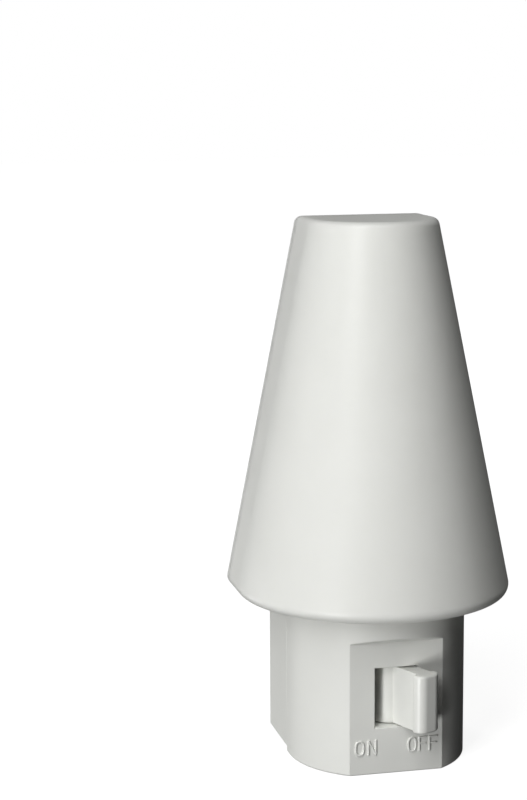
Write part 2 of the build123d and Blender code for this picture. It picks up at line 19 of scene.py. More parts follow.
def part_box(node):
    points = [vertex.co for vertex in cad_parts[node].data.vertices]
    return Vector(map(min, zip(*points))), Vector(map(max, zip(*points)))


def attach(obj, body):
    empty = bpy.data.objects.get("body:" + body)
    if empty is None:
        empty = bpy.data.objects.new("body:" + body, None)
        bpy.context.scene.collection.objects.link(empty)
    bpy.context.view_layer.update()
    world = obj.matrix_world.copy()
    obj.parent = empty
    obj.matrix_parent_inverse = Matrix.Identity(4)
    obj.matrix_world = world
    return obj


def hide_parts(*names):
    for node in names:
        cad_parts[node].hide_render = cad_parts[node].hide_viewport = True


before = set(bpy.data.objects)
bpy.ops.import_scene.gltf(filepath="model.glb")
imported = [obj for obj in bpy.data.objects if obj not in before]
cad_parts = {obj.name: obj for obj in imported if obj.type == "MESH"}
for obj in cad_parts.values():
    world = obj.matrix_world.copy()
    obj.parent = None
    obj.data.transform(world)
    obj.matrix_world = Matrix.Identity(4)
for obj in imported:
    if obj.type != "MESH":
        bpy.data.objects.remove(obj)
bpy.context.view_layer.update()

MM = 0.001
TURN = 2 * math.pi
Point = tuple[float, float, float]
Colour = tuple[float, float, float]
Span = tuple[float, float]
Letter = tuple[str, float, float]   # the letter, its left edge and its width
Socket = bpy.types.NodeSocket
Value = Socket | float | Colour     # what an input can be given
NOISE_SPAN: Span = (0.3, 0.7)       # holds most values of a noise
SAME_POINT = 1e-7                   # metres within which two points are one
BEVEL_TURN = 35.0                   # edges that turn by more degrees are bevelled
BEVEL_STEPS = 3
AREA_WEIGHT = 100                   # large faces set the shading at their edges
log = logging.getLogger("night_light")


class Carrier(Enum):
    """The two bodies that everything rides on."""

    LIGHT = "night_light"
    LEVER = "lever"


# ---------------------------------------------------------------- meshes from whole arrays
def smoothstep(value: np.ndarray) -> np.ndarray:
    """Rises from 0 to 1 as the value does, level at both ends: 3t^2 - 2t^3 of the clipped value."""
    t = np.clip(value, 0.0, 1.0)
    return t * t * (3.0 - 2.0 * t)


def node_box(node: str) -> np.ndarray:
    """Lowest and highest corner of a CAD node, in millimetres to a hundredth."""
    return np.round(np.array(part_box(node)) / MM, 2)


def grid_quads(rows: int, columns: int, start: int = 0, wrap: bool = False) -> np.ndarray:
    """Quads of a grid of points that is numbered row by row.

    Args:
        rows: number of rows of points.
        columns: number of points in a row.
        start: number of the first point.
        wrap: joins the last column to the first.

    Returns:
        Four point numbers for each quad.
    """
    numbers = start + np.arange(rows * columns).reshape(rows, columns)
    following = np.roll(numbers, -1, axis=1)
    if not wrap:
        numbers, following = numbers[:, :-1], following[:, :-1]
    corners = (numbers[:-1], following[:-1], following[1:], numbers[1:])
    return np.stack([corner.ravel() for corner in corners], axis=1)


def mesh_object(name: str, points: np.ndarray, faces: list[list[int]], sharp: float) -> bpy.types.Object:
    """Puts points and faces into a new object in the scene.

    Args:
        name: name of the piece.
        points: points in millimetres, in any grid shape whose last axis is x, y, z.
        faces: point numbers of each face, anticlockwise from outside.
        sharp: edges that turn by more than these degrees stay sharp.

    Returns:
        The new object, at the origin.
    """
    mesh = bpy.data.meshes.new(name)
    mesh.from_pydata((points.reshape(-1, 3) * MM).tolist(), [], faces)
    mesh.validate()
    mesh.shade_smooth()
    mesh.set_sharp_from_angle(angle=math.radians(sharp))
    piece = bpy.data.objects.new(name, mesh)
    bpy.context.scene.collection.objects.link(piece)
    return piece


def turned_points(radii: np.ndarray, along: np.ndarray, angles: np.ndarray) -> np.ndarray:
    """Points of a turned surface about its own +Z axis.

    The point at row i and angle a is (r cos a, r sin a, h), where r and h are the radius and the
    place along the axis of that row and angle.

    Args:
        radii: radius for each row and angle.
        along: place along the axis for each row and angle.
        angles: the angles of the columns.

    Returns:
        Points, rows by angles by three.
    """
    radii, along, angles = np.broadcast_arrays(radii, along, angles)
    return np.stack([radii * np.cos(angles), radii * np.sin(angles), along], axis=-1)


def turned_faces(rows: int, columns: int, start: int = 0) -> list[list[int]]:
    """Faces of a turned surface whose rows go up its axis: quads, and one flat face at each end.

    Args:
        rows: number of rows.
        columns: number of points in a row.
        start: number of the first point.

    Returns:
        Point numbers of each face, anticlockwise from outside.
    """
    quads = grid_quads(rows, columns, start, wrap=True).tolist()
    low = list(range(start + columns - 1, start - 1, -1))
    high = list(range(start + (rows - 1) * columns, start + rows * columns))
    return quads + [low, high]


def softened_copy(node: str, name: str, width: float) -> bpy.types.Object:
    """Copy of a CAD node, with its loose triangles merged and its sharp edges bevelled.

    Args:
        node: CAD node to copy.
        name: name of the new piece.
        width: width of the bevel in millimetres.

    Returns:
        The new object, with live modifiers.
    """
    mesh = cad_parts[node].data.copy()
    mesh.name = name
    work = bmesh.new()
    work.from_mesh(mesh)
    bmesh.ops.remove_doubles(work, verts=work.verts, dist=SAME_POINT)
    work.to_mesh(mesh)
    work.free()
    if "custom_normal" in mesh.attributes:
        mesh.attributes.remove(mesh.attributes["custom_normal"])
    mesh.shade_smooth()
    piece = bpy.data.objects.new(name, mesh)
    bpy.context.scene.collection.objects.link(piece)
    bevel = piece.modifiers.new("soft_edges", "BEVEL")
    bevel.width = width * MM
    bevel.segments = BEVEL_STEPS
    bevel.limit_method = "ANGLE"
    bevel.angle_limit = math.radians(BEVEL_TURN)
    even = piece.modifiers.new("even_light", "WEIGHTED_NORMAL")
    even.weight = AREA_WEIGHT
    return piece


# ---------------------------------------------------------------- finishes
class Recipe:
    """Shader nodes of one material, added and joined by short calls.

    Patterns read Object coordinates, and their sizes are in millimetres.
    """

    def __init__(self, name: str) -> None:
        """Starts a material with an empty Principled shader.

        Args:
            name: name of the material.
        """
        self.material = bpy.data.materials.new(name)
        self.material.use_nodes = True
        self.tree = self.material.node_tree
        self.tree.nodes.clear()
        self.shader = self.add("ShaderNodeBsdfPrincipled")
        output = self.add("ShaderNodeOutputMaterial")
        self.join(self.shader.outputs["BSDF"], output.inputs["Surface"])
        self.place = self.add("ShaderNodeTexCoord").outputs["Object"]

    def add(self, kind: str) -> bpy.types.Node:
        """Adds a node of a kind."""
        return self.tree.nodes.new(kind)

    def join(self, source: Socket, target: Socket) -> None:
        """Joins an output to an input."""
        self.tree.links.new(source, target)

    def fill(self, target: Socket, value: Value) -> None:
        """Joins an output to an input, or sets the input to a number or colour.

        Args:
            target: the input.
            value: an output, a number or a colour.
        """
        if isinstance(value, Socket):
            self.join(value, target)
        else:
            target.default_value = value

    def set(self, **sockets: Value) -> None:
        """Sets inputs of the shader to numbers or to rows of numbers.

        Args:
            sockets: value of each input, by its name with low lines for spaces.
        """
        for name, value in sockets.items():
            words = [part.upper() if part == "ior" else part.title() for part in name.split("_")]
            self.shader.inputs[" ".join(words)].default_value = value

    def moved(self, offset: Point = (0, 0, 0), stretch: Point = (1, 1, 1)) -> Socket:
        """Object coordinates, measured from a point and then stretched along the axes.

        Args:
            offset: the point in millimetres.
            stretch: scale along x, y and z.

        Returns:
            The coordinates, in metres times the scale.
        """
        node = self.add("ShaderNodeMapping")
        node.inputs["Location"].default_value = [-o * MM * s for o, s in zip(offset, stretch)]
        node.inputs["Scale"].default_value = stretch
        self.join(self.place, node.inputs["Vector"])
        return node.outputs["Vector"]

    def noise(
        self, size: float, detail: float = 2.0, rough: float = 0.5, stretch: Point = (1, 1, 1)
    ) -> Socket:
        """Soft noise of a feature size.

        Args:
            size: rough width of a feature in millimetres.
            detail: octaves of finer noise.
            rough: weight of the finer octaves.
            stretch: frequency along x, y and z, so that a small one draws the pattern out.

        Returns:
            The noise, about 0.5 and within 0 to 1.
        """
        node = self.add("ShaderNodeTexNoise")
        node.inputs["Scale"].default_value = 1 / (size * MM)
        node.inputs["Detail"].default_value = detail
        node.inputs["Roughness"].default_value = rough
        self.join(self.moved(stretch=stretch), node.inputs["Vector"])
        return node.outputs["Fac"]

    def ranged(self, value: Socket, span: Span = NOISE_SPAN, to: Span = (0.0, 1.0)) -> Socket:
        """Value carried from one span to another, and held at its ends.

        Args:
            value: the value.
            span: where the value starts and ends.
            to: the result at the start and at the end.

        Returns:
            The result.
        """
        node = self.add("ShaderNodeMapRange")
        self.join(value, node.inputs["Value"])
        for name, number in zip(("From Min", "From Max", "To Min", "To Max"), (*span, *to)):
            node.inputs[name].default_value = number
        return node.outputs["Result"]

    def maths(self, operation: str, first: Value, second: Value = 0.0) -> Socket:
        """One step of arithmetic.

        Args:
            operation: name of the step.
            first: first number.
            second: second number, where the step has one.

        Returns:
            The result.
        """
        node = self.add("ShaderNodeMath")
        node.operation = operation
        self.fill(node.inputs[0], first)
        self.fill(node.inputs[1], second)
        return node.outputs["Value"]

    def blend(self, share: Value, first: Value, second: Value) -> Socket:
        """Colour between two colours.

        Args:
            share: 0 gives the first colour and 1 the second.
            first: the first colour.
            second: the second colour.

        Returns:
            The colour between them.
        """
        node = self.add("ShaderNodeMix")
        node.data_type = "RGBA"
        colours = [s for s in node.inputs if s.type == "RGBA"]
        self.fill(node.inputs["Factor"], share)
        for target, value in zip(colours, (first, second)):
            self.fill(target, value if isinstance(value, Socket) else (*value, 1.0))
        return next(s for s in node.outputs if s.type == "RGBA")

    def relief(self, height: Socket, depth: float, under: Socket | None = None) -> Socket:
        """Bump of a pattern, alone or on top of another bump.

        Args:
            height: the pattern, from 0 to 1.
            depth: depth of the pattern in millimetres.
            under: normal of the bump underneath.

        Returns:
            The bumped normal.
        """
        node = self.add("ShaderNodeBump")
        node.inputs["Strength"].default_value = 1.0
        node.inputs["Distance"].default_value = depth * MM
        self.join(height, node.inputs["Height"])
        if under is not None:
            self.join(under, node.inputs["Normal"])
        return node.outputs["Normal"]

    def apart(self, vector: Socket) -> list[Socket]:
        """Takes a vector apart.

        Args:
            vector: the vector.

        Returns:
            Its x, y and z.
        """
        node = self.add("ShaderNodeSeparateXYZ")
        self.join(vector, node.inputs["Vector"])
        return list(node.outputs)


def around(value: float, share: float) -> Span:
    """The span from a share below a value to the same share above it."""
    return value * (1 - share), value * (1 + share)


def shades(colour: Colour, spread: float) -> tuple[Colour, Colour]:
    """A darker and a lighter colour, each a share of spread away from the given one."""
    return tuple(c * (1 - spread) for c in colour), tuple(min(1.0, c * (1 + spread)) for c in colour)


@dataclass(frozen=True)
class MouldedPlastic:
    """Injection-moulded plastic: a fine eroded grain over long soft waves, with cloudy colour."""

    name: str
    colour: Colour
    roughness: float = 0.5
    grain: float = 0.35             # width of a grain
    grain_depth: float = 0.004
    grain_span: Span = (0.35, 0.65)     # part of the grain's noise that changes the roughness
    grain_gloss: float = 0.02       # change of the roughness either way
    wave: float = 9.0               # width of the waviness that shrinkage leaves
    wave_depth: float = 0.02
    cloud: float = 0.012            # colour variation
    cloud_width: float = 0.8        # as a share of a wave
    smear: float = 0.07             # share by which the roughness drifts
    smear_width: float = 0.5        # as a share of a wave
    translucency: float = 0.0
    scatter: float = 1.0            # mean path of light in the material
    glow: float = 0.0               # painted glow: an even emission that stands in for studio light passing through a thin translucent shell and leaving it everywhere
    specular: float = 0.5
    refraction: float = 1.49

    def material(self) -> bpy.types.Material:
        """Builds the material.

        Returns:
            The material.
        """
        mix = Recipe(self.name)
        grain = mix.noise(self.grain, detail=3.0, rough=0.6)
        cloud = mix.noise(self.wave * self.cloud_width, detail=3.0)
        smear = mix.noise(self.wave * self.smear_width, detail=4.0)
        colour = mix.blend(mix.ranged(cloud), *shades(self.colour, self.cloud))
        polish = mix.ranged(smear, to=around(self.roughness, self.smear))
        fine = mix.ranged(grain, self.grain_span, (-self.grain_gloss, self.grain_gloss))
        mix.join(colour, mix.shader.inputs["Base Color"])
        mix.join(mix.maths("ADD", polish, fine), mix.shader.inputs["Roughness"])
        waves = mix.relief(mix.noise(self.wave, detail=1.0), self.wave_depth)
        mix.join(mix.relief(grain, self.grain_depth, waves), mix.shader.inputs["Normal"])
        mix.set(
            specular_ior_level=self.specular, ior=self.refraction, subsurface_weight=self.translucency,
            subsurface_radius=(1.0, 1.0, 1.0), subsurface_scale=self.scatter * MM,
        )
        # painted glow: the colour is also given out as light, evenly over the piece, in place of light that
        # passes through it
        if self.glow:
            mix.join(colour, mix.shader.inputs["Emission Color"])
            mix.set(emission_strength=self.glow)
        return mix.material


@dataclass(frozen=True)
class SheetMetal:
    """Rolled, stamped or drawn metal: fine streaks one way, and faint blotches of tarnish."""

    name: str
    colour: Colour
    tarnish: Colour
    roughness: float = 0.28
    streaks: Point = (1.0, 0.04, 1.0)       # frequency along each axis
    streak: float = 0.08                    # width of a streak
    streak_depth: float = 0.002
    streak_tone: float = 0.06               # share by which the streaks darken the colour
    streak_gloss: float = 0.2               # share by which they change the roughness
    blotch: float = 3.0                     # width of a blotch
    blotch_span: Span = (0.42, 0.7)         # part of the noise from bare to full tarnish
    blotch_tint: float = 0.55               # share of the tarnish's colour in a full blotch
    blotch_gloss: float = 0.12              # added roughness there

    def material(self) -> bpy.types.Material:
        """Builds the material.

        Returns:
            The material.
        """
        mix = Recipe(self.name)
        lines = mix.noise(self.streak, detail=2.0, stretch=self.streaks)
        blotches = mix.ranged(mix.noise(self.blotch, detail=4.0, rough=0.6), self.blotch_span)
        base = mix.blend(mix.maths("MULTIPLY", blotches, self.blotch_tint), self.colour, self.tarnish)
        shaded = mix.add("ShaderNodeVectorMath")
        shaded.operation = "SCALE"
        mix.join(base, shaded.inputs[0])
        mix.join(mix.ranged(lines, to=(1 - self.streak_tone, 1.0)), shaded.inputs["Scale"])
        mix.join(shaded.outputs["Vector"], mix.shader.inputs["Base Color"])
        rough = mix.ranged(lines, to=around(self.roughness, self.streak_gloss))
        dull = mix.maths("MULTIPLY", blotches, self.blotch_gloss)
        mix.join(mix.maths("ADD", rough, dull), mix.shader.inputs["Roughness"])
        mix.join(mix.relief(lines, self.streak_depth), mix.shader.inputs["Normal"])
        mix.set(metallic=1.0)
        return mix.material


@dataclass(frozen=True)
class BoardLaminate:
    """Glass laminate under green solder mask, with the copper areas a little proud and paler."""

    name: str
    mask: Colour
    over_copper: Colour
    pour: Span = (6.72, 4.2)        # length and height of a copper area
    gap: float = 0.35               # bare strip between two areas
    gap_blur: float = 0.15          # softness of the strip's edges
    copper_height: float = 0.035
    weave: float = 0.5              # width of a glass thread
    weave_stretch: Point = (1.0, 1.0, 0.6)
    weave_depth: float = 0.006
    weave_tint: float = 0.2         # share of the mask's colour over the threads
    gloss: Span = (0.24, 0.34)      # roughness between and over the threads

    def material(self) -> bpy.types.Material:
        """Builds the material.

        A brick pattern laid in the board's plane is the copper, and a stretched noise is the weave.

        Returns:
            The material.
        """
        mix = Recipe(self.name)
        turned = mix.add("ShaderNodeMapping")
        turned.inputs["Rotation"].default_value = (TURN / 4, 0, 0)
        mix.join(mix.place, turned.inputs["Vector"])
        areas = mix.add("ShaderNodeTexBrick")
        mix.join(turned.outputs["Vector"], areas.inputs["Vector"])
        length, height = self.pour
        settings = {
            "Scale": 1.0, "Brick Width": length * MM, "Row Height": height * MM,
            "Mortar Size": self.gap * MM, "Mortar Smooth": self.gap_blur,
        }
        for name, value in settings.items():
            areas.inputs[name].default_value = value
        copper = mix.maths("SUBTRACT", 1.0, areas.outputs["Fac"])
        weave = mix.noise(self.weave, detail=1.0, stretch=self.weave_stretch)
        colour = mix.blend(copper, self.mask, self.over_copper)
        colour = mix.blend(mix.ranged(weave, to=(0.0, self.weave_tint)), colour, self.mask)
        mix.join(colour, mix.shader.inputs["Base Color"])
        mix.join(mix.ranged(weave, to=self.gloss), mix.shader.inputs["Roughness"])
        under = mix.relief(weave, self.weave_depth)
        mix.join(mix.relief(copper, self.copper_height, under), mix.shader.inputs["Normal"])
        return mix.material


class Paint(Enum):
    """Colours of the resistors' value bands."""

    BLACK = (0.01, 0.01, 0.01)
    BROWN = (0.12, 0.04, 0.01)
    RUST = (0.30, 0.10, 0.03)
    RED = (0.5, 0.02, 0.01)
    YELLOW = (0.65, 0.5, 0.02)
    GREEN = (0.05, 0.28, 0.06)
    VIOLET = (0.30, 0.02, 0.3)
    GOLD = (0.5, 0.33, 0.06)


@dataclass(frozen=True)
class BandedCoat:
    """Lacquered resistor body with painted value bands round it."""

    name: str
    node: str                       # the upright resistor that it coats
    bands: tuple[Paint, ...]        # from the lowest up
    places: tuple[float, ...] = (-0.3, -0.12, 0.04, 0.32)   # of the bands, in lengths from the middle
    colour: Colour = (0.52, 0.40, 0.24)
    band_width: float = 0.08        # as a share of the length
    band_blur: float = 0.008        # soft edge of a band, as a share too
    band_height: float = 0.02       # thickness of the paint
    wobble: float = 0.006           # how far a band strays, as a share of the length
    wobble_width: float = 1.2
    mottle: float = 0.6             # width of a spot in the lacquer
    mottle_tone: float = 0.07
    gloss: Span = (0.3, 0.42)       # roughness outside and inside the spots
    dimple: float = 0.5
    dimple_depth: float = 0.01

    def material(self) -> bpy.types.Material:
        """Builds the material: each band covers where the height is within half a band of its place.

        Returns:
            The material.
        """
        mix = Recipe(self.name)
        low, high = node_box(self.node)[:, 2]
        height = mix.apart(mix.moved((0.0, 0.0, (low + high) / 2)))[2]
        stray = mix.ranged(mix.noise(self.wobble_width, detail=1.0), to=(-self.wobble, self.wobble))
        share = mix.maths("ADD", mix.maths("DIVIDE", height, (high - low) * MM), stray)
        mottle = mix.ranged(mix.noise(self.mottle, detail=3.0))
        colour = mix.blend(mottle, *shades(self.colour, self.mottle_tone))
        edge = (self.band_width / 2, self.band_width / 2 - self.band_blur)
        painted: Value = 0.0
        for place, paint in zip(self.places, self.bands):
            away = mix.maths("ABSOLUTE", mix.maths("SUBTRACT", share, place))
            inside = mix.ranged(away, edge)
            colour = mix.blend(inside, colour, paint.value)
            painted = mix.maths("MAXIMUM", painted, inside)
        mix.join(colour, mix.shader.inputs["Base Color"])
        mix.join(mix.ranged(mottle, (0.0, 1.0), self.gloss), mix.shader.inputs["Roughness"])
        under = mix.relief(mix.noise(self.dimple, detail=2.0), self.dimple_depth)
        mix.join(mix.relief(painted, self.band_height, under), mix.shader.inputs["Normal"])
        return mix.material


@dataclass(frozen=True)
class CanSleeve:
    """Shrink sleeve of a round capacitor, with a pale stripe down one side and a bare aluminium top."""

    name: str
    node: str                       # the can that it covers, which lies along Y with its top in front
    sleeve: Colour
    stripe: Colour
    metal: Colour = (0.78, 0.79, 0.80)
    stripe_edge: Span = (0.70, 0.73)    # where the stripe starts and is full, as shares of the radius
    rim: float = 0.35               # sleeve rolled over the top
    rim_blur: float = 0.05
    top_skin: Span = (0.12, 0.08)   # depths below the top where the bare metal starts and is full
    crease: float = 0.5             # width of a crease in the sleeve
    crease_stretch: Point = (1.0, 0.25, 1.0)
    crease_depth: float = 0.012
    crease_tone: float = 0.12
    gloss: Span = (0.22, 0.34)      # roughness outside and inside the creases

    def material(self) -> bpy.types.Material:
        """Builds the material.

        Measured from the middle of the can's top, the stripe is where x is beyond about 0.7 of
        the radius, and the bare metal is where the distance from the axis is within the rim and y
        is close to 0.

        Returns:
            The material.
        """
        mix = Recipe(self.name)
        low, high = node_box(self.node)
        middle = (low + high) / 2
        radius = (high[0] - low[0]) / 2
        inner = radius - self.rim
        x, y, z = mix.apart(mix.moved((middle[0], low[1], middle[2])))
        stripe = mix.ranged(x, tuple(share * radius * MM for share in self.stripe_edge))
        squares = mix.maths("ADD", mix.maths("MULTIPLY", x, x), mix.maths("MULTIPLY", z, z))
        bare = mix.ranged(mix.maths("SQRT", squares), (inner * MM, (inner - self.rim_blur) * MM))
        top = mix.ranged(y, tuple(depth * MM for depth in self.top_skin))
        metal = mix.maths("MULTIPLY", bare, top)
        creases = mix.noise(self.crease, detail=3.0, stretch=self.crease_stretch)
        colour = mix.blend(mix.ranged(creases), *shades(self.sleeve, self.crease_tone))
        colour = mix.blend(stripe, colour, self.stripe)
        colour = mix.blend(metal, colour, self.metal)
        mix.join(colour, mix.shader.inputs["Base Color"])
        mix.join(metal, mix.shader.inputs["Metallic"])
        mix.join(mix.ranged(creases, to=self.gloss), mix.shader.inputs["Roughness"])
        mix.join(mix.relief(creases, self.crease_depth), mix.shader.inputs["Normal"])
        return mix.material


class Finish(Enum):
    """Every finish on the night light, by what wears it."""

    SHADE = MouldedPlastic(
        "frosted_shade", (0.865, 0.872, 0.832), roughness=0.36, grain=0.45, grain_depth=0.006, wave=14.0,
        # glow is painted light: a faint even emission for studio light passing through the shell
        wave_depth=0.03, translucency=0.7, scatter=2.0, glow=0.034, specular=0.4,
    )
    BODY = MouldedPlastic(
        "satin_body", (0.862, 0.869, 0.830), roughness=0.5, grain=0.32, grain_depth=0.005, specular=0.35,
    )
    LEVER = MouldedPlastic(
        "smooth_lever", (0.875, 0.882, 0.842), roughness=0.34, grain=0.25, grain_depth=0.002, wave=5.0,
        wave_depth=0.01,
    )
    RETAINER = MouldedPlastic("natural_retainer", (0.70, 0.68, 0.60), roughness=0.5, translucency=0.3)
    MOULD = MouldedPlastic("black_compound", (0.018, 0.018, 0.02), roughness=0.5, grain=0.12, cloud=0.2)
    FILM = MouldedPlastic(
        "red_epoxy", (0.42, 0.035, 0.02), roughness=0.22, grain=0.6, grain_depth=0.006, wave=3.0, cloud=0.08,
    )
    LED = MouldedPlastic(
        "milky_resin", (0.9, 0.9, 0.84), roughness=0.2, grain=0.3, grain_depth=0.001, translucency=1.0,
        scatter=2.0, cloud=0.03,
    )
    BLADE = SheetMetal("plated_blade", (0.62, 0.60, 0.55), (0.50, 0.47, 0.40), roughness=0.36)
    CONTACT = SheetMetal("stamped_brass", (0.78, 0.56, 0.24), (0.55, 0.35, 0.14), streaks=(1.0, 1.0, 0.05))
    SPRING = SheetMetal("rolled_bronze", (0.62, 0.37, 0.19), (0.42, 0.22, 0.11), streaks=(0.05, 1.0, 1.0))
    SCREW = SheetMetal("zinc_steel", (0.56, 0.57, 0.56), (0.50, 0.47, 0.34), roughness=0.34, blotch=1.5)
    WIRE = SheetMetal("tinned_wire", (0.66, 0.66, 0.65), (0.5, 0.5, 0.49), roughness=0.26, blotch=0.8)
    BOARD = BoardLaminate("green_board", (0.012, 0.09, 0.035), (0.03, 0.19, 0.07))
    SLEEVE = CanSleeve("dark_sleeve", "smoothing_capacitor", (0.012, 0.014, 0.022), (0.55, 0.56, 0.58))
    FUSIBLE = BandedCoat(
        "coat_fusible", "fusible_resistor", (Paint.RUST, Paint.BLACK, Paint.BLACK, Paint.GOLD),
    )
    BLEED = BandedCoat("coat_bleed", "bleed_resistor", (Paint.BROWN, Paint.BLACK, Paint.GREEN, Paint.GOLD))
    DROP = BandedCoat("coat_drop", "led_resistor", (Paint.YELLOW, Paint.VIOLET, Paint.RED, Paint.GOLD))

    def dress(self, *pieces: bpy.types.Object) -> None:
        """Gives pieces this finish, whose material is made once.

        Args:
            pieces: objects that lose their own materials for it.
        """
        material = bpy.data.materials.get(self.value.name) or self.value.material()
        for piece in pieces:
            piece.data.materials.clear()
            piece.data.materials.append(material)


def dress_node(node: str, finish: Finish) -> bpy.types.Object:
    """Gives a CAD node its finish and reports it.

    Args:
        node: name of the CAD node.
        finish: the finish that it gets.

    Returns:
        The node's object.
    """
    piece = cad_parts[node]
    finish.dress(piece)
    log.info("%s keeps its shape, finish %s", node, finish.name)
    return piece


def seat(piece: bpy.types.Object, body: Carrier, slot: str, finish: Finish, *nodes: str) -> bpy.types.Object:
    """Dresses a new piece, sets it on its body and hides the CAD nodes that it stands for.

    Args:
        piece: the new piece.
        body: the body that carries it.
        slot: not used.
        finish: the finish that it gets.
        nodes: CAD nodes that it stands for.

    Returns:
        The same piece.
    """
    finish.dress(piece)
    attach(piece, body.value)
    if nodes:
        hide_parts(*nodes)
    log.info("%s made, %d faces, finish %s", piece.name, len(piece.data.polygons), finish.name)
    return piece


# ---------------------------------------------------------------- shade and body
@dataclass
class Shade:
    """Diffuser shell and its back plate."""

    nodes: tuple[str, ...] = ("shade", "shade_back")

    def build(self) -> None:
        """Dresses both mouldings."""
        for node in self.nodes:
            dress_node(node, Finish.SHADE)


@dataclass
class PanelWords:
    """Words raised from the switch panel, one piece a word, rooted in the panel."""

    foot_z: float = -10.87          # foot of the letters
    height: float = 2.94
    stroke: float = 0.36            # width of a stroke
    flank: float = 0.16             # width of a stroke's sloping side
    relief: float = 0.24            # how far the letters stand out
    sink: float = 0.05              # root below the panel's face
    root: float = 0.15              # thickness of the root
    margin: float = 0.35            # root around the letters
    cell: float = 0.045             # spacing of the grid
    round_power: float = 2.5        # 2 is an ellipse, more is squarer
    round_points: int = 73
    bar_height: float = 0.54        # the F's middle bar, as a share of the letter's height
    bar_short: float = 0.15         # by how much that bar is shorter than the top one
    on_letters: tuple[Letter, ...] = (("O", -7.97, 1.9), ("N", -5.5, 1.76))
    off_letters: tuple[Letter, ...] = (("O", 2.2, 1.84), ("F", 4.33, 1.66), ("F", 6.31, 1.72))
    no_length: float = 1e-12        # keeps the division by a run's length safe
    sharp: float = 60.0
    panel_y: float = field(init=False)

    def __post_init__(self) -> None:
        """Finds the panel's face: the foremost point of the housing below the letters."""
        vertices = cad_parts["front_housing"].data.vertices
        places = np.empty(3 * len(vertices), np.float32)
        vertices.foreach_get("co", places)
        points = places.reshape(-1, 3) / MM
        self.panel_y = round(float(points[points[:, 2] < self.foot_z, 1].min()), 3)

    def strokes(self, letter: str, left: float, width: float) -> list[np.ndarray]:
        """Centre lines of a letter, each a row of x, z points.

        The round letter is the curve |x/a|^p + |z/b|^p = 1, taken at even angles.

        Args:
            letter: O, N or F.
            left: left edge of the letter.
            width: width of the letter.

        Returns:
            The letter's centre lines.
        """
        half = self.stroke / 2
        x0, x1 = left + half, left + width - half
        z0, z1 = self.foot_z + half, self.foot_z + self.height - half
        if letter == "O":
            angle = np.linspace(0, TURN, self.round_points)
            cos, sin = np.cos(angle), np.sin(angle)
            power = 2 / self.round_power
            x = (x0 + x1) / 2 + (x1 - x0) / 2 * np.sign(cos) * np.abs(cos) ** power
            z = (z0 + z1) / 2 + (z1 - z0) / 2 * np.sign(sin) * np.abs(sin) ** power
            return [np.stack([x, z], axis=1)]
        if letter == "N":
            return [np.array([(x0, z0), (x0, z1), (x1, z0), (x1, z1)])]
        bar = z0 + (z1 - z0) * self.bar_height
        return [np.array([(x0, z0), (x0, z1), (x1, z1)]), np.array([(x0, bar), (x1 - self.bar_short, bar)])]

    def distance(self, x: np.ndarray, z: np.ndarray, lines: list[np.ndarray]) -> np.ndarray:
        """Distance from each point to the nearest centre line.

        For each run of a line the point is dropped onto it, held between its ends, and the
        distance to that foot is taken; the smallest over all runs counts.

        Args:
            x: x of the points.
            z: z of the points.
            lines: centre lines.

        Returns:
            The distances, in the shape of x.
        """
        start = np.concatenate([line[:-1] for line in lines])
        run = np.concatenate([line[1:] - line[:-1] for line in lines])
        away = np.stack([x, z], axis=-1)[..., None, :] - start
        share = np.clip((away * run).sum(-1) / np.maximum((run * run).sum(-1), self.no_length), 0, 1)
        return np.linalg.norm(away - share[..., None] * run, axis=-1).min(-1)

    def word(self, name: str, letters: tuple[Letter, ...]) -> bpy.types.Object:
        """One word: a height over a grid on the panel, closed by a flat root inside the panel.

        The height falls from the relief to the sunk root by a smooth step over the flank, whose
        middle is half a stroke from the nearest centre line.

        Args:
            name: name of the piece.
            letters: the word's letters from left to right.

        Returns:
            The word's object.
        """
        lines = [line for letter in letters for line in self.strokes(*letter)]
        left, right = letters[0][1] - self.margin, letters[-1][1] + letters[-1][2] + self.margin
        low, high = self.foot_z - self.margin, self.foot_z + self.height + self.margin
        columns, rows = int((right - left) / self.cell) + 1, int((high - low) / self.cell) + 1
        x, z = np.meshgrid(np.linspace(left, right, columns), np.linspace(low, high, rows))
        reach = (self.stroke / 2 + self.flank / 2 - self.distance(x, z, lines)) / self.flank
        front = self.panel_y + self.sink - (self.relief + self.sink) * smoothstep(reach)
        top = np.stack([x, front, z], axis=-1)
        numbers = np.arange(rows * columns).reshape(rows, columns)
        rim = np.concatenate([numbers[0], numbers[1:, -1], numbers[-1, -2::-1], numbers[-2:0:-1, 0]])
        root = top.reshape(-1, 3)[rim] * (1, 0, 1) + (0, self.panel_y + self.sink + self.root, 0)
        under = rows * columns + np.arange(len(rim))
        sides = np.stack([rim, under, np.roll(under, -1), np.roll(rim, -1)], axis=1)
        faces = grid_quads(rows, columns).tolist() + sides.tolist() + [under[::-1].tolist()]
        return mesh_object(name, np.concatenate([top.reshape(-1, 3), root]), faces, self.sharp)

    def build(self) -> None:
        """Makes both words."""
        for name, letters in (("word_on", self.on_letters), ("word_off", self.off_letters)):
            seat(self.word(name, letters), Carrier.LIGHT, "body_plastic", Finish.BODY)


@dataclass
class Body:
    """Front housing and rear cover, with the words on the switch panel."""

    words: PanelWords = field(default_factory=PanelWords)
    nodes: tuple[str, ...] = ("front_housing", "rear_cover")

    def build(self) -> None:
        """Dresses both halves and raises the words."""
        for node in self.nodes:
            dress_node(node, Finish.BODY)
        self.words.build()


@dataclass
class Switch:
    """Swing lever with its bridging clip, the two contacts and the detent spring."""

    def build(self) -> None:
        """Dresses the switch parts."""
        dress_node("switch_lever", Finish.LEVER)
        for node in ("bridge_contact", "contact_line", "contact_load"):
            dress_node(node, Finish.CONTACT)
        dress_node("detent_spring", Finish.SPRING)


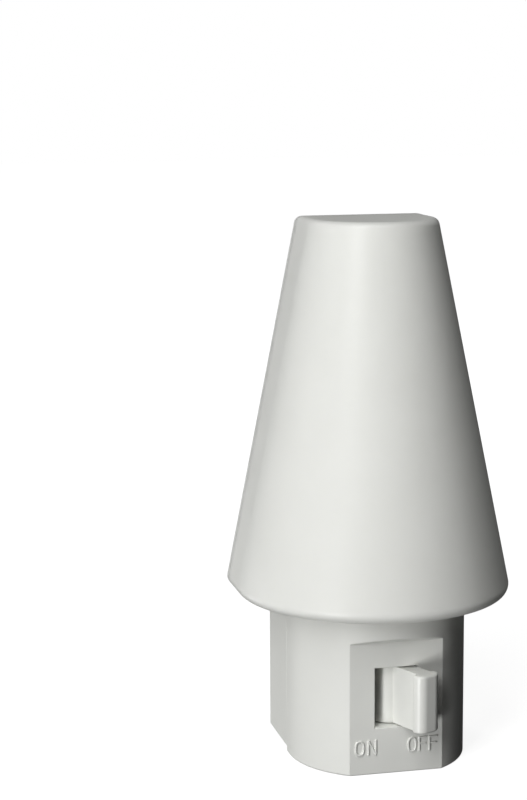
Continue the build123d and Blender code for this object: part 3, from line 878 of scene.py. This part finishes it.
# ---------------------------------------------------------------- plug and screws
@dataclass
class Plug:
    """Two plated blades with coined edges, and the plate that holds them."""

    coining: float = 0.16           # softened edge of the sheet

    def build(self) -> None:
        """Makes the blades over their CAD shapes and dresses the retainer."""
        for side in ("neutral", "line"):
            blade = softened_copy(f"blade_{side}", f"plated_blade_{side}", self.coining)
            seat(blade, Carrier.LIGHT, "blade_metal", Finish.BLADE, f"blade_{side}")
        dress_node("blade_retainer", Finish.RETAINER)


@dataclass
class CoverScrews:
    """Two self-tapping pan-head screws with a spaced thread and a cross recess."""

    head_height: float = 1.7
    head_round: float = 0.7
    crest: float = 1.19             # radius over the thread
    core: float = 0.93              # radius between the turns of the thread
    pitch: float = 1.05
    ridge: float = 0.42             # share of the pitch that the ridge covers
    plain: float = 1.6              # unthreaded length under the head
    point: float = 1.1              # length of the tapered tip
    point_end: float = 0.45         # radius at its end, as a share of the core's
    recess_span: float = 2.8
    recess_width: float = 0.62
    recess_depth: float = 0.9
    recess_flank: float = 0.14
    recess_rise: float = 0.35       # share of the depth that is lost at the end of an arm
    chamfer: float = 0.12           # under the head's rim
    eye: float = 0.02               # radius of the last row, at the middle of the cross
    turned: Span = (0.3, 1.1)       # how far each screw was driven round
    columns: int = 64
    rows_per_turn: int = 12
    round_rows: int = 9
    top_rows: int = 40
    sharp: float = 50.0
    head_radius: float = field(init=False)
    length: float = field(init=False)   # tip to the underside of the head
    across: float = field(init=False)   # middle of the body to each axis
    height: float = field(init=False)   # of both axes
    tip_y: float = field(init=False)

    def __post_init__(self) -> None:
        """Takes the places and the outer sizes from the box round both CAD screws."""
        low, high = node_box("cover_screws")
        self.head_radius = (high[2] - low[2]) / 2
        self.length = high[1] - low[1] - self.head_height
        self.across = high[0] - self.head_radius
        self.height = (low[2] + high[2]) / 2
        self.tip_y = low[1]

    def recess(self, x: np.ndarray, z: np.ndarray) -> np.ndarray:
        """Depth of the cross at points of the head's top.

        Each arm is a smooth step across its width times one along its length, shallower
        towards its end by the square of the distance; the deeper arm counts.

        Args:
            x: across the head.
            z: up the head.

        Returns:
            Depth in millimetres.
        """
        def arm(a: np.ndarray, b: np.ndarray) -> np.ndarray:
            """Share of the full depth in one arm.

            Args:
                a: across the arm.
                b: along the arm.

            Returns:
                The share, from 0 to 1.
            """
            wide = smoothstep((self.recess_width / 2 - np.abs(a)) / self.recess_flank + 0.5)
            long = smoothstep((self.recess_span / 2 - np.abs(b)) / self.recess_flank + 0.5)
            return wide * long * (1 - self.recess_rise * (2 * b / self.recess_span) ** 2)
        return self.recess_depth * np.maximum(arm(x, z), arm(z, x))

    def screw(self) -> tuple[np.ndarray, int, int]:
        """Points of one screw about its own axis, from its tip up to the middle of its head.

        Shank: the radius is the core, plus a ridge where the fraction of (height/pitch -
        angle/turn) is near a half.  The ridge fades at the tip and under the head.  Head: a side,
        a quarter round and a top, and on the top the depth of the cross is taken off.

        Returns:
            The points, the number of rows and the number of columns.
        """
        angles = np.linspace(0, TURN, self.columns, endpoint=False)
        length = self.length
        count = int(length / self.pitch * self.rows_per_turn)
        up = np.linspace(0, length, count)[:, None]
        phase = (up / self.pitch - angles / TURN) % 1.0
        ridge = smoothstep(1 - np.abs(phase - 0.5) / (self.ridge / 2))
        fade = smoothstep(up / self.point) * smoothstep((length - self.plain - up) / self.pitch)
        core = self.core * (self.point_end + (1 - self.point_end) * np.clip(up / self.point, 0, 1))
        shank = core + (self.crest - self.core) * ridge * fade
        quarter = np.linspace(0, TURN / 4, self.round_rows)[:, None]
        flat = self.head_radius - self.head_round
        inwards = np.linspace(flat, self.eye, self.top_rows)[:, None]
        side_height = self.head_height - self.head_round
        side = np.array([[self.head_radius - self.chamfer], [self.head_radius], [self.head_radius]])
        side_up = length + np.array([[0.0], [self.chamfer], [side_height / 2]])
        turn = flat + self.head_round * np.cos(quarter)
        turn_up = length + side_height + self.head_round * np.sin(quarter)
        top = length + self.head_height - self.recess(inwards * np.cos(angles), inwards * np.sin(angles))
        wide = np.ones_like(angles)
        radii = np.concatenate([shank, side * wide, turn * wide, inwards * wide])
        along = np.concatenate([up * wide, side_up * wide, turn_up * wide, top])
        return turned_points(radii, along, angles), len(radii), self.columns

    def build(self) -> None:
        """Makes both screws as one piece: the axis is laid along +Y, and each is turned a little."""
        points, rows, columns = self.screw()
        laid = points[..., [0, 2, 1]] * (-1, 1, 1)
        x, y, z = laid[..., 0], laid[..., 1], laid[..., 2]
        both = []
        for side, turn in zip((-1, 1), self.turned):
            cos, sin = math.cos(turn), math.sin(turn)
            both.append(np.stack([
                side * self.across + x * cos - z * sin, y + self.tip_y, self.height + x * sin + z * cos,
            ], axis=-1))
        faces = turned_faces(rows, columns) + turned_faces(rows, columns, rows * columns)
        screws = mesh_object("threaded_screws", np.stack(both), faces, self.sharp)
        seat(screws, Carrier.LIGHT, "screw_steel", Finish.SCREW, "cover_screws")


# ---------------------------------------------------------------- circuit
@dataclass
class Circuit:
    """Board with its parts, the LED on the tongue and the solder at the wires."""

    resistors: tuple[str, ...] = ("fusible_resistor", "bleed_resistor", "led_resistor")
    wire_radius: float = 0.3
    wire_bend: float = 1.2          # end of a resistor's body to the foot of its wire
    fillet_radius: float = 0.85
    fillet_height: float = 0.75
    fillet_sink: float = 0.03       # root of the solder inside the board
    fillet_rows: int = 10
    fillet_columns: int = 28
    fillet_sharp: float = 50.0
    led_radius: float = 2.5
    led_flange_height: float = 1.0
    led_flat: float = 2.6           # axis to the flat on the flange
    led_edge: float = 0.12          # chamfer of the flange
    led_neck: Span = (0.08, 0.1)    # width and height of the fillet on the flange
    led_crown: float = 0.98         # share of the dome's quarter turn, up to a small flat
    led_rows: int = 14
    led_columns: int = 72
    led_sharp: float = 40.0
    led_flange: float = field(init=False)
    led_foot: float = field(init=False)
    led_height: float = field(init=False)
    led_y: float = field(init=False)

    def __post_init__(self) -> None:
        """Takes the LED's place and outer sizes from its CAD box."""
        low, high = node_box("led")
        self.led_flange = high[0]
        self.led_foot, self.led_height = low[2], high[2] - low[2]
        self.led_y = (low[1] + high[1]) / 2

    def lamp(self) -> bpy.types.Object:
        """LED: a flange with a flat, a barrel and a half-round dome.

        The flange's radius at angle a is the smaller of its own and flat / -cos a, which cuts it
        on the side of -X; -cos a is kept from falling so low that this could count elsewhere.
        The dome is r cos t at height r sin t.

        Returns:
            The LED's object.
        """
        angles = np.linspace(0, TURN, self.led_columns, endpoint=False)
        lift, wide, r = self.led_flange_height, self.led_flange, self.led_radius
        barrel = self.led_height - r
        quarter = np.linspace(0, TURN / 4 * self.led_crown, self.led_rows)
        flange_up = np.array([0.0, self.led_edge, lift - self.led_edge, lift])
        flange = np.array([[wide - self.led_edge], [wide], [wide], [wide - self.led_edge]])
        flat = self.led_flat / np.maximum(-np.cos(angles), self.led_flat / (2 * wide))
        flange_rows = np.minimum(flange, flat)
        neck_width, neck_height = self.led_neck
        upper = np.concatenate([[r + neck_width, r], r * np.cos(quarter)])
        upper_up = np.concatenate([[lift, lift + neck_height], barrel + r * np.sin(quarter)])
        radii = np.concatenate([flange_rows, upper[:, None] * np.ones_like(angles)])
        along = np.concatenate([flange_up, upper_up])[:, None] + self.led_foot
        points = turned_points(radii, along, angles) + (0, self.led_y, 0)
        return mesh_object("led_lens", points, turned_faces(*radii.shape), self.led_sharp)

    def feet(self) -> np.ndarray:
        """Where the resistors' wires meet the board's front, past both ends of each resistor.

        Returns:
            x, y, z of each foot.
        """
        board_y = node_box("circuit_board")[0, 1]
        boxes = np.array([node_box(node) for node in self.resistors])
        across = boxes[:, :, 0].mean(axis=1)
        ends = boxes[:, ::-1, 2] + (self.wire_bend, -self.wire_bend)
        return np.array([(x, board_y, z) for x, pair in zip(across, ends) for z in pair])

    def solder(self) -> bpy.types.Object:
        """Solder cones round the wires' feet, all at once.

        At height h above the board the radius falls from the fillet's to the wire's as
        (1 - h/height)^2, so the cone's side is hollow.  The same cone is added to every foot.

        Returns:
            The solder's object.
        """
        angles = np.linspace(0, TURN, self.fillet_columns, endpoint=False)
        share = np.linspace(0, 1, self.fillet_rows)[:, None]
        radii = self.wire_radius + (self.fillet_radius - self.wire_radius) * (1 - share) ** 2
        radii = np.concatenate([radii[:1], radii])
        along = np.concatenate([[[-self.fillet_sink]], share * self.fillet_height])
        cone = turned_points(radii, along, angles)
        cone = np.stack([cone[..., 0], -cone[..., 2], cone[..., 1]], axis=-1)
        feet = self.feet()
        points = cone[None] + feet[:, None, None, :]
        rows, columns = cone.shape[:2]
        faces = [f for n in range(len(feet)) for f in turned_faces(rows, columns, n * rows * columns)]
        return mesh_object("solder_joints", points, faces, self.fillet_sharp)

    def build(self) -> None:
        """Dresses the board's parts and makes the LED and the solder."""
        finishes = {
            "circuit_board": Finish.BOARD,
            "film_capacitor": Finish.FILM,
            "smoothing_capacitor": Finish.SLEEVE,
            "bridge_rectifier": Finish.MOULD,
            "resistor_leads": Finish.WIRE,
            "led_legs": Finish.WIRE,
            "fusible_resistor": Finish.FUSIBLE,
            "bleed_resistor": Finish.BLEED,
            "led_resistor": Finish.DROP,
        }
        for node, finish in finishes.items():
            dress_node(node, finish)
        seat(self.lamp(), Carrier.LIGHT, "led_resin", Finish.LED, "led")
        seat(self.solder(), Carrier.LIGHT, "wire_tin", Finish.WIRE)


# ---------------------------------------------------------------- studio
METAL_AIM: Point = (0.0, 5.0, 0.0)   # between the blades, near the outlet face


@dataclass(frozen=True)
class SoftLight:
    """A rectangular light that faces the night light, or one that lies flat and shines up."""

    name: str
    azimuth: float                  # degrees, 0 in front, positive towards +X
    elevation: float
    distance: float                 # metres
    width: float
    height: float
    power: float                    # watts
    aim: Point = (0.0, -15.0, 30.0)
    flat: bool = False
    glossy: bool = True             # seen as a reflection
    metal: bool = False             # lights the bare metal alone


@dataclass
class Studio:
    """Camera, floor, lights and the white room."""

    yaw: float = 12.83
    pitch: float = 9.43
    roll: float = -0.36
    lens: float = 89.02
    sensor: float = 36.0
    sight: Span = (0.01, 50.0)      # nearest and farthest that the camera sees, in metres
    centre: Point = (-102.016, -369.274, 114.585)
    floor_reach: float = 2.5        # metres
    floor_points: int = 3           # along each side
    floor_tones: tuple[Colour, Colour] = ((0.36, 0.36, 0.355), (0.40, 0.40, 0.395))
    floor_cloud: float = 60.0       # width of a change of tone
    floor_sharp: float = 60.0
    floor_rough: float = 0.8
    floor_specular: float = 0.1
    glow_reach: Span = (0.06, 0.5)  # metres from the origin within which the floor's glow rises
    glow: Span = (0.9, 1.0)
    metal: tuple[str, ...] = ("plated_blade_neutral", "plated_blade_line", "threaded_screws")
    shine: float = 0.05             # brightness of the room in reflections
    lights: tuple[SoftLight, ...] = (
        SoftLight("key", -47.0, -15.0, 0.7, 0.2, 0.2, 2.03),
        SoftLight("tall_key", -40.0, 34.0, 0.7, 0.2, 0.4, 2.01),
        SoftLight("top", -30.0, 60.0, 0.7, 0.2, 0.2, 1.04),
        SoftLight("front_card", 0.0, 0.0, 0.2, 0.12, 0.12, 0.063, (0.0, -15.0, -12.0), flat=True),
        SoftLight("side_card", -110.0, 0.0, 0.08, 0.06, 0.016, 0.0073, (0.0, -12.0, -6.0)),
        SoftLight("rear", -160.0, 20.0, 0.7, 0.24, 0.24, 1.2, glossy=False),
        SoftLight("right", 105.0, 35.0, 0.7, 0.2, 0.4, 0.2, glossy=False),
        SoftLight("metal_left", -120.0, 10.0, 0.5, 0.5, 0.5, 2.4, METAL_AIM, metal=True),
        SoftLight("metal_right", 120.0, 10.0, 0.5, 0.5, 0.5, 2.4, METAL_AIM, metal=True),
        SoftLight("metal_top", 180.0, 75.0, 0.5, 0.5, 0.5, 1.6, METAL_AIM, metal=True),
        SoftLight("metal_back", 180.0, 0.0, 0.5, 0.4, 0.4, 0.8, METAL_AIM, metal=True),
    )

    def camera(self) -> None:
        """Camera that looks down the yaw and the pitch, turned about its view by the roll."""
        yaw, pitch, roll = (math.radians(a) for a in (self.yaw, self.pitch, self.roll))
        back = Vector((-math.sin(yaw) * math.cos(pitch), -math.cos(yaw) * math.cos(pitch), math.sin(pitch)))
        level = Vector((math.cos(yaw), -math.sin(yaw), 0.0))
        rise = back.cross(level)
        right = level * math.cos(roll) + rise * math.sin(roll)
        up = rise * math.cos(roll) - level * math.sin(roll)
        data = bpy.data.cameras.new("camera")
        data.lens, data.sensor_width = self.lens, self.sensor
        data.clip_start, data.clip_end = self.sight
        camera = bpy.data.objects.new("camera", data)
        turn = Matrix((right, up, back)).transposed().to_4x4()
        camera.matrix_world = Matrix.Translation(Vector(self.centre) * MM) @ turn
        bpy.context.scene.collection.objects.link(camera)
        bpy.context.scene.camera = camera

    def floor(self) -> None:
        """Plain pale floor, level with the body's underside, which shows only to the camera."""
        across = np.linspace(-1, 1, self.floor_points) * self.floor_reach / MM
        x, y = np.meshgrid(across, across)
        points = np.stack([x, y, np.full_like(x, node_box("front_housing")[0, 2])], axis=-1)
        faces = grid_quads(self.floor_points, self.floor_points).tolist()
        floor = mesh_object("floor", points, faces, self.floor_sharp)
        mix = Recipe("pale_floor")
        tone = mix.ranged(mix.noise(self.floor_cloud, detail=3.0))
        mix.join(mix.blend(tone, *self.floor_tones), mix.shader.inputs["Base Color"])
        away = mix.add("ShaderNodeVectorMath")
        away.operation = "LENGTH"
        mix.join(mix.place, away.inputs[0])
        glow = mix.ranged(away.outputs["Value"], self.glow_reach, self.glow)
        mix.join(glow, mix.shader.inputs["Emission Strength"])
        mix.set(emission_color=(1.0, 1.0, 1.0, 1.0))
        mix.set(roughness=self.floor_rough, specular_ior_level=self.floor_specular)
        floor.data.materials.append(mix.material)
        floor.visible_diffuse = floor.visible_glossy = False
        floor.visible_transmission = floor.visible_shadow = False

    def light(self, soft: SoftLight) -> None:
        """Hangs one soft light, at its angles and distance from its aim.

        Args:
            soft: the light.
        """
        azimuth, elevation = math.radians(soft.azimuth), math.radians(soft.elevation)
        level = math.cos(elevation)
        away = Vector((math.sin(azimuth) * level, -math.cos(azimuth) * level, math.sin(elevation)))
        data = bpy.data.lights.new(soft.name, "AREA")
        data.shape, data.size, data.size_y = "RECTANGLE", soft.width, soft.height
        data.energy = soft.power
        lamp = bpy.data.objects.new(soft.name, data)
        back = Vector((0.0, 0.0, -1.0)) if soft.flat else away
        turn = back.to_track_quat("Z", "Y").to_matrix().to_4x4()
        lamp.matrix_world = Matrix.Translation(Vector(soft.aim) * MM + away * soft.distance) @ turn
        lamp.visible_camera, lamp.visible_glossy = False, soft.glossy
        if soft.metal:
            lamp.light_linking.receiver_collection = self.bare_metal()
        bpy.context.scene.collection.objects.link(lamp)

    def bare_metal(self) -> bpy.types.Collection:
        """Groups the blades and the screws, which show only what they reflect.

        Returns:
            The group, made once.
        """
        metal = bpy.data.collections.get("bare_metal")
        if metal is None:
            metal = bpy.data.collections.new("bare_metal")
            for name in self.metal:
                metal.objects.link(bpy.data.objects[name])
        return metal

    def room(self) -> None:
        """Room that is white to the camera, dim in reflections and gives no light of its own."""
        world = bpy.data.worlds.new("white_room")
        world.use_nodes = True
        tree = world.node_tree
        tree.nodes.clear()
        path, strength = tree.nodes.new("ShaderNodeLightPath"), tree.nodes.new("ShaderNodeMath")
        strength.operation = "MULTIPLY_ADD"
        strength.inputs[1].default_value = self.shine
        backdrop, output = tree.nodes.new("ShaderNodeBackground"), tree.nodes.new("ShaderNodeOutputWorld")
        backdrop.inputs["Color"].default_value = (1.0, 1.0, 1.0, 1.0)
        tree.links.new(path.outputs["Is Glossy Ray"], strength.inputs[0])
        tree.links.new(path.outputs["Is Camera Ray"], strength.inputs[2])
        tree.links.new(strength.outputs["Value"], backdrop.inputs["Strength"])
        tree.links.new(backdrop.outputs["Background"], output.inputs["Surface"])
        bpy.context.scene.world = world

    def build(self) -> None:
        """Sets up the room, the floor, the lights and the camera."""
        bpy.context.scene.view_settings.view_transform = "Standard"
        self.room()
        self.floor()
        for soft in self.lights:
            self.light(soft)
        self.camera()
        log.info("studio ready with %d lights", len(self.lights))


def main() -> None:
    """Builds the night light piece by piece, then its studio."""
    logging.basicConfig(level=logging.INFO, format="%(name)s: %(message)s")
    for part in (Shade(), Body(), Switch(), Plug(), CoverScrews(), Circuit(), Studio()):
        part.build()


if __name__ == "__main__":
    main()
